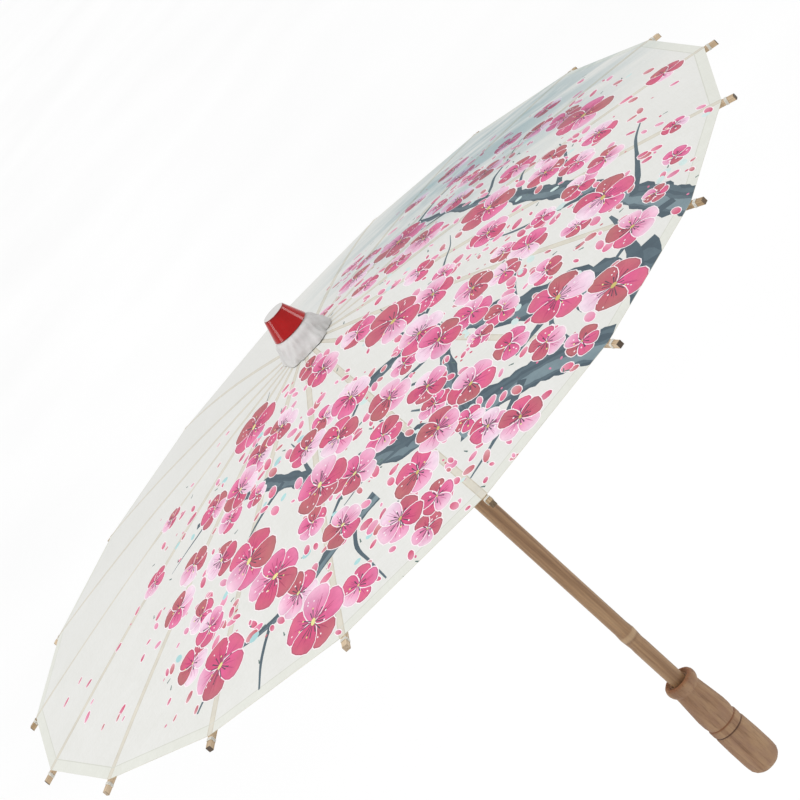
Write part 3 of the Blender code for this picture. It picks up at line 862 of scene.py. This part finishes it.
def make_canopy(materials):
    flat, faces, middle, colours = cut_plan(painted())
    rib, side, along, across, _ = locate(middle)
    on_rib = across < half_strip(along)
    made = []
    for k in range(RIBS):
        number = f"{k + 1:02d}"
        turn = k * STEP
        strip = (rib == k) & on_rib
        glued = panel(f"paper_strip_{number}", flat, faces[strip], colours[strip], materials)
        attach(glued, f"rib_{number}")
        out, across_way = Vector((*unit(turn), 0)), Vector((*unit(turn + math.pi / 2), 0))
        fall = Vector((0, 0, paper_level(RIM * math.cos(STEP / 2)) - paper_level(HOLE)))
        down_rib = (out * (RIM - HOLE) * MM + fall).normalized()
        normal = down_rib.cross(across_way)
        for sign, word in ((1, "left"), (-1, "right")):
            gore = (rib == k) & ~on_rib & (side == sign)
            half = panel(f"paper_gore_{number}_{word}", flat, faces[gore], colours[gore], materials)
            ridge = out * RIM / 2 * MM + across_way * sign * STRIP_FULL * MM
            ridge.z = paper_level(np.array(RIM / 2 * math.cos(STEP / 2)))
            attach(half, f"rib_{number}")
            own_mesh(half)
            made.append(half)
        made.append(glued)
    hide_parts("canopy")
    return made


# ---------------------------------------------------------------- collar and threads

def make_collar(mat):
    """The crinkled paper round the crown, gathered under the finial."""
    around, rows = 150, 12
    top_radius, foot_radius = 0.0183, 0.0262
    vertices = []
    for row in range(rows):
        t = row / (rows - 1)
        for i in range(around):
            turn = 2 * math.pi * i / around
            way = Vector((math.cos(turn), math.sin(turn), 0))
            ruck = noise.noise(way * 2.1 + Vector((0, 0, 0.7 * t)))
            crease = 1 - 2 * abs(noise.noise(way * 4.2 + Vector((4, 0, 1.6 * t))))
            small = noise.noise(way * 8 + Vector((0, 9, 4.0 * t)))
            swell = 0.0011 * math.sin(math.pi * t) + 0.0004 * math.sin(math.pi * 3 * t)
            fold = (0.35 + 0.65 * t) * (0.0026 * ruck + 0.0024 * (crease - 0.6) + 0.0011 * small)
            radius = top_radius + (foot_radius - top_radius) * t ** 1.1 + swell + fold
            ragged = abs(0.0008 * noise.noise(way * 4.2 + Vector((7, 3, 0))) + 0.0004 * small)
            drop = (COLLAR_TOP - COLLAR_FOOT) * t - max(0.0, t - 0.5) * 2 * ragged
            radius = max(radius, top_radius) - 0.0014 * max(0.0, 1 - t / 0.12)
            vertices.append(way * radius + Vector((0, 0, COLLAR_TOP - drop)))
    faces = []
    for row in range(rows - 1):
        for i in range(around):
            j = (i + 1) % around
            a, b = row * around, (row + 1) * around
            faces.append((a + j, a + i, b + i, b + j))
    made = mesh_object("crinkled_collar", vertices, faces, [mat])
    thick = made.modifiers.new("thickness", "SOLIDIFY")
    thick.thickness = 0.0002
    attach(made, "root")
    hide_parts("paper_collar")
    return made


def tube(path, radius, sides=6, closed=False):
    """Vertices and faces of a thread along a path."""
    path = [Vector(p) for p in path]
    count = len(path)
    vertices, faces = [], []
    normal = None
    for i, p in enumerate(path):
        ahead = path[(i + 1) % count] - path[i - 1] if closed or 0 < i < count - 1 else (
            path[1] - path[0] if i == 0 else path[-1] - path[-2])
        ahead.normalize()
        if normal is None:
            normal = ahead.orthogonal()
        normal = (normal - ahead * normal.dot(ahead)).normalized()
        other = ahead.cross(normal)
        for k in range(sides):
            turn = 2 * math.pi * k / sides
            vertices.append(p + (normal * math.cos(turn) + other * math.sin(turn)) * radius)
    for i in range(count if closed else count - 1):
        j = (i + 1) % count
        for k in range(sides):
            m = (k + 1) % sides
            faces.append((i * sides + k, i * sides + m, j * sides + m, j * sides + k))
    if not closed:
        faces.append(tuple(range(sides))[::-1])
        faces.append(tuple(range((count - 1) * sides, count * sides)))
    return vertices, faces


def rib_level(out):
    """Height of a rib's centre line at out metres from the axis."""
    share = (out - CROWN_RADIUS) / (RIM_RADIUS - CROWN_RADIUS)
    return RIM_HEIGHT + CROWN_RISE * (1 - share) + 4 * RIB_BOW * share * (1 - share) - RIB_DROP


def make_threads(mat):
    """On every rib: thread wound round the stick at the paper's edge, and the knotted thread of its joint."""
    wind, turns, per_turn = 0.0003, 4, 16
    for k in range(RIBS):
        number = f"{k + 1:02d}"
        dice = random.Random(40 + k)
        out, side = Vector((*unit(k * STEP), 0)), Vector((*unit(k * STEP + math.pi / 2), 0))
        vertices, faces = [], []

        def lay(path, radius):
            more, cells = tube(path, radius)
            first = len(vertices)
            vertices.extend(more)
            faces.extend(tuple(first + i for i in cell) for cell in cells)

        slope = (rib_level(0.405) - rib_level(0.395)) / 0.01
        up = (Vector((0, 0, 1)) - out * slope).normalized()
        share = (WINDING_AT + 0.0005 - RIB_THINS_FROM) / (RIB_END - RIB_THINS_FROM)
        wide = RIB_WIDTH + (RIB_TIP_WIDTH - RIB_WIDTH) * share
        deep = RIB_DEPTH + (RIB_TIP_DEPTH - RIB_DEPTH) * share
        path = []
        for i in range(turns * per_turn + 1):
            turn = 2 * math.pi * i / per_turn
            # a rounded square, just outside the stick
            c, s = math.cos(turn), math.sin(turn)
            square = (abs(c) ** 8 + abs(s) ** 8) ** (-1 / 8)
            reach_side = (wide / 2 + wind * 0.95) * c * square
            reach_up = (deep / 2 + wind * 0.95) * s * square
            u = WINDING_AT + wind * 2.05 * i / per_turn + dice.uniform(-0.00004, 0.00004)
            level = rib_level(u) + (RIB_DEPTH - deep) / 2
            path.append(out * u + Vector((0, 0, level)) + side * reach_side + up * reach_up)
        lay(path, wind)
        # the joint's thread passes through fork and stretcher, with a knot on each cheek
        pin = out * RIB_JOINT + Vector((0, 0, rib_level(RIB_JOINT)))
        cheek = RIB_WIDTH / 2 + 0.0004
        lay([pin - side * cheek, pin, pin + side * cheek], 0.00055)
        for sign in (-1, 1):
            knot = []
            for i in range(25):
                turn = 2 * math.pi * i / 10
                wide = 0.0011 * (1 - 0.012 * i)
                knot.append(pin + side * sign * (cheek + 0.00032 + 0.000018 * i)
                            + out * math.cos(turn) * wide + up * math.sin(turn) * wide)
            lay(knot, 0.0005)
        made = mesh_object(f"rib_thread_{number}", vertices, faces, [mat])
        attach(made, f"rib_{number}")


# ---------------------------------------------------------------- stage

def make_camera():
    towards = Vector((
        -math.cos(ELEVATION) * math.cos(AZIMUTH),
        -math.cos(ELEVATION) * math.sin(AZIMUTH),
        -math.sin(ELEVATION),
    ))
    level = towards.cross(Vector((0, 0, 1))).normalized()
    above = level.cross(towards)
    right = level * math.cos(ROLL) + above * math.sin(ROLL)
    up = above * math.cos(ROLL) - level * math.sin(ROLL)
    data = bpy.data.cameras.new("camera")
    data.lens = LENS
    data.sensor_width = 36.0
    data.clip_end = 200.0
    camera = bpy.data.objects.new("camera", data)
    turn = Matrix((right, up, -towards)).transposed().to_4x4()
    camera.matrix_world = Matrix.Translation(AIM - towards * DISTANCE) @ turn
    bpy.context.scene.collection.objects.link(camera)
    bpy.context.scene.camera = camera


def area_light(name, place, aim, width, height, power):
    data = bpy.data.lights.new(name, "AREA")
    data.shape = "RECTANGLE"
    data.size = width
    data.size_y = height
    data.energy = power
    lamp = bpy.data.objects.new(name, data)
    lamp.location = place
    lamp.rotation_euler = (Vector(aim) - Vector(place)).to_track_quat("-Z", "Y").to_euler()
    bpy.context.scene.collection.objects.link(lamp)


def make_stage():
    floor_mat = new_material("studio_floor", Roughness=0.95, Specular_IOR_Level=0.05)
    cloudy = cloud(floor_mat, coords(floor_mat, (0.6, 0.6, 0.6)), 1.0, 2.0)
    tone = ramp(floor_mat, cloudy, (0.3, rgba(249, 249, 249)), (0.7, rgba(252, 252, 252)))
    wire(floor_mat, Base_Color=tone)
    reach = 80.0
    corners = [(-reach, -reach, FLOOR), (reach, -reach, FLOOR), (reach, reach, FLOOR), (-reach, reach, FLOOR)]
    mesh_object("studio_floor", corners, [(0, 1, 2, 3)], [floor_mat], smooth=False)
    world = bpy.data.worlds.new("studio")
    world.use_nodes = True
    world.node_tree.nodes["Background"].inputs["Color"].default_value = (1, 1, 1, 1)
    world.node_tree.nodes["Background"].inputs["Strength"].default_value = 0.74
    bpy.context.scene.world = world
    sun = bpy.data.lights.new("key", "SUN")
    sun.energy = 1.05
    sun.angle = math.radians(25)
    lamp = bpy.data.objects.new("key", sun)
    lamp.rotation_euler = Vector((0.35, 0.45, -1.0)).to_track_quat("-Z", "Y").to_euler()
    bpy.context.scene.collection.objects.link(lamp)
    area_light("left_strip", (-2.5, -0.35, 1.7), (0, 0, 0.6), 0.24, 1.8, 9)
    area_light("right_strip", (2.4, 0.5, 1.7), (0, 0, 0.6), 0.24, 1.8, 9)
    area_light("near_panel", (-0.9, -2.4, 1.0), (0, 0, 0.4), 1.0, 1.0, 4)
    bpy.context.scene.view_settings.view_transform = "Standard"


# ---------------------------------------------------------------- all together

def dress(frame):
    """Gives every CAD node that stays its material."""
    shaft, handle, wood, thread = shaft_bamboo(), handle_wood(), hub_wood(), thread_cotton()
    ribs = (
        split_bamboo("rib_bamboo_pale", (226, 208, 182), (208, 186, 156), (164, 136, 106), 0.35),
        split_bamboo("rib_bamboo_split", (216, 196, 168), (194, 170, 138), (148, 120, 92), 0.9),
        split_bamboo("rib_bamboo_brown", (200, 178, 144), (172, 146, 110), (126, 98, 70), 0.7),
    )
    stretcher = split_bamboo("stretcher_bamboo_split", (214, 186, 146), (194, 162, 122), (150, 118, 82))
    finial, steel = red_lacquer(), catch_steel()
    given = {
        "shaft": shaft, "handle": handle, "hub": wood, "runner": wood, "hub_pin": stretcher,
        "hub_thread": thread, "runner_thread": thread, "finial": finial, "catch": steel,
    }
    for name, node in frame["nodes"].items():
        mat = given.get(name)
        if name.startswith("rib_"):
            mat = ribs[(int(name[-2:]) * 7 // 4) % 3]
        if name.startswith("stretcher_"):
            mat = stretcher
        if mat is None:
            continue
        for place in node.material_slots:
            place.material = mat
    return thread


def main():
    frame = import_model()
    make_camera()
    make_stage()
    thread = dress(frame)
    top = paper("oil_paper_painted", True)
    under = paper("oil_paper_underside", True, underside=True)
    make_canopy([top, under])
    make_collar(paper("collar_crepe", False))
    make_threads(thread)


main()
